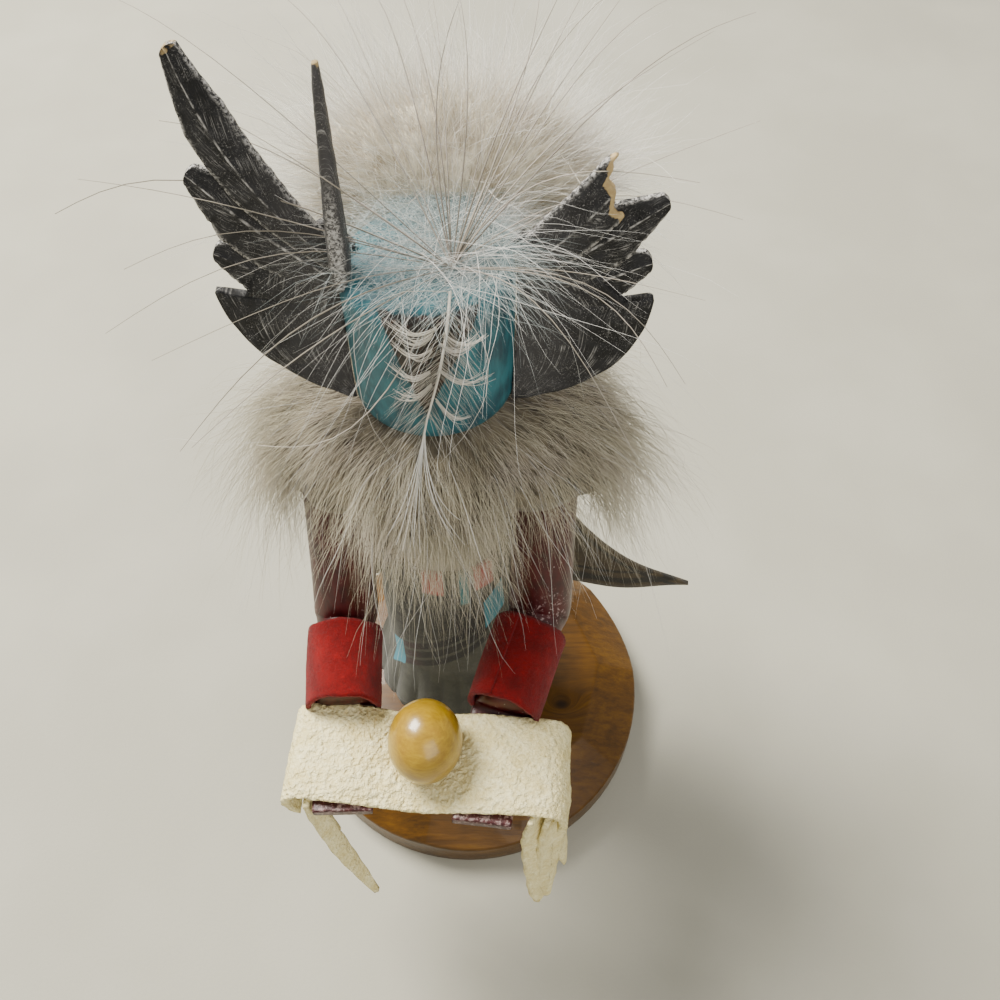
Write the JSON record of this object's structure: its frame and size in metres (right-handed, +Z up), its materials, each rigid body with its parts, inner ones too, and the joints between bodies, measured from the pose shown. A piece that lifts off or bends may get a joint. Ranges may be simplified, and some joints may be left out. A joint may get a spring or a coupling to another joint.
{
  "type": "kachina doll",
  "caption": "Standing carved doll on a round wooden base, with a winged helmet, fur ruff and plumes, carrying a ball on a fringed suede strip.",
  "frame": {"origin": "centre of the base's underside, on the surface that the doll stands on", "axes": "+Z up, the figure faces -Y, and +X is the figure's left-hand side"},
  "size_m": [0.0756, 0.0815, 0.1456],
  "materials": {
    "base_wood": "varnished, golden brown",
    "figure_paint": "off-white matt paint",
    "white_suede": "napped suede",
    "helmet_paint": "turquoise satin paint",
    "arm_paint": "maroon semi-gloss paint",
    "red_suede": "napped suede",
    "ball_wood": "clear gloss varnish",
    "wing_paint": "charcoal paint with dry-brushed white",
    "fur": "long soft hair",
    "cape_suede": "stiff buff suede with a dark border"
  },
  "bodies": {
    "root": {"base": "base_wood", "figure": "figure_paint", "dress": "white_suede", "head": "helmet_paint", "arm_right": "arm_paint", "arm_left": "arm_paint", "cuff_right": "red_suede", "cuff_left": "red_suede", "strip": "white_suede", "ball": "ball_wood", "wing_right": "wing_paint", "wing_left": "wing_paint", "spike_feather": "wing_paint", "face_plume": "fur", "crest_plume": "fur", "fur_ruff": "fur", "cape": "cape_suede"}
  },
  "joints": []
}
